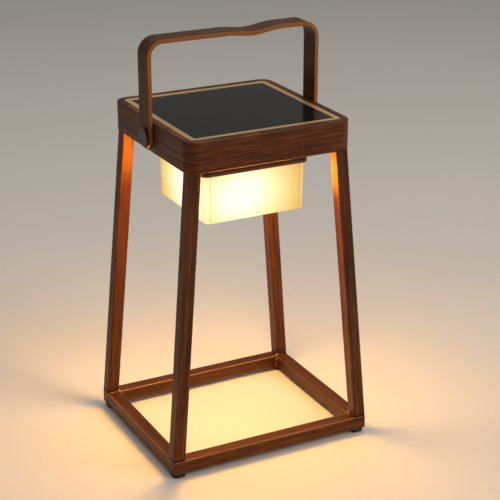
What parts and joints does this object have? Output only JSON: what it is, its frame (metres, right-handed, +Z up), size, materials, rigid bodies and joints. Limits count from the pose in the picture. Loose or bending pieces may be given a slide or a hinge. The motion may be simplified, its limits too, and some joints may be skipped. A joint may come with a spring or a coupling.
{
  "type": "solar lantern",
  "caption": "Open-frame garden lantern on tapered legs with a solar panel top, a frosted square lamp under its head and a swinging strap handle.",
  "frame": {"origin": "on the ground under the middle of the base", "axes": "+Z up, +X to the right along the longer side of the base, +Y to the back, where the charging inlet is"},
  "size_m": [0.24, 0.2, 0.4619],
  "materials": {
    "timber_coat": "wood-grain powder coat on aluminium, satin",
    "timber_coat_handle": "wood-grain powder coat on formed aluminium strap, satin",
    "champagne_trim": "brushed champagne anodised",
    "panel_glass": "clear tempered glass, smooth",
    "panel_black": "black backsheet",
    "solar_cell": "black monocrystalline silicon",
    "frosted_diffuser": "frosted translucent, lit warm white",
    "dark_plastic": "dark brown moulded, fine texture",
    "black_plastic": "moulded nylon",
    "bronze_cap": "satin brown",
    "washer_nylon": "nylon",
    "seal_rubber": "silicone seal",
    "cover_rubber": "soft silicone",
    "foot_rubber": "matt rubber",
    "dark_steel": "blackened stainless steel",
    "spring_steel": "nickel plated",
    "cast_zinc": "as cast",
    "cell_sleeve": "shrink sleeve",
    "circuit_board": "green solder mask",
    "led_board_white": "white solder mask on aluminium core",
    "led_phosphor": "warm white phosphor",
    "lead_sleeve": "two-core lead"
  },
  "bodies": {
    "lantern": {"base_corner_keys": "cast_zinc", "base_rail_back": "timber_coat", "base_rail_front": "timber_coat", "base_rail_left": "timber_coat", "base_rail_right": "timber_coat", "battery_cell_1": "cell_sleeve", "battery_cell_2": "cell_sleeve", "battery_cell_3": "cell_sleeve", "battery_contacts": "spring_steel", "battery_holder": "black_plastic", "battery_lead": "lead_sleeve", "body_seal": "seal_rubber", "button_bezel": "dark_plastic", "charge_board": "circuit_board", "charge_lead": "lead_sleeve", "charge_socket": "spring_steel", "control_board": "circuit_board", "control_board_parts": "black_plastic", "control_board_screws": "dark_steel", "diffuser": "frosted_diffuser", "diffuser_collar": "dark_plastic", "diffuser_seal": "seal_rubber", "foot_pad_back_left": "foot_rubber", "foot_pad_back_right": "foot_rubber", "foot_pad_front_left": "foot_rubber", "foot_pad_front_right": "foot_rubber", "head_frame": "timber_coat", "lamp_base": "dark_plastic", "led_board": "led_board_white", "led_board_screws": "dark_steel", "led_emitters": "led_phosphor", "led_lead": "lead_sleeve", "leg_back_left": "timber_coat", "leg_back_right": "timber_coat", "leg_base_screws": "dark_steel", "leg_end_plugs": "black_plastic", "leg_front_left": "timber_coat", "leg_front_right": "timber_coat", "leg_top_screws": "dark_steel", "module_screws": "dark_steel", "panel_backsheet": "panel_black", "panel_gasket": "seal_rubber", "panel_glass": "panel_glass", "panel_lead": "lead_sleeve", "pivot_bolt_left": "dark_steel", "pivot_bolt_right": "dark_steel", "pivot_cap_left": "bronze_cap", "pivot_cap_right": "bronze_cap", "pivot_nuts": "spring_steel", "pivot_washers": "washer_nylon", "port_bezel": "dark_plastic", "power_switch": "black_plastic", "solar_cells": "solar_cell", "solar_tray": "dark_plastic", "trim_ring": "champagne_trim"},
    "handle": {"handle_strap": "timber_coat_handle"},
    "button": {"power_button": "cover_rubber"},
    "port_cover": {"port_cover": "cover_rubber"}
  },
  "joints": [
    {"name": "handle_swing", "type": "hinge", "parent": "lantern", "child": "handle", "pos_m": [0, 0, 0.356], "axis": [1, 0, 0], "range_deg": [-97, 97]},
    {"name": "button_press", "type": "slide", "parent": "lantern", "child": "button", "axis": [0, 0, 1], "range_m": [0, 0.0012], "stiffness_N_per_m": 500},
    {"name": "port_cover_hinge", "type": "hinge", "parent": "lantern", "child": "port_cover", "pos_m": [-0.045, 0.0964, 0.3616], "axis": [1, 0, 0], "range_deg": [0, 120]}
  ]
}
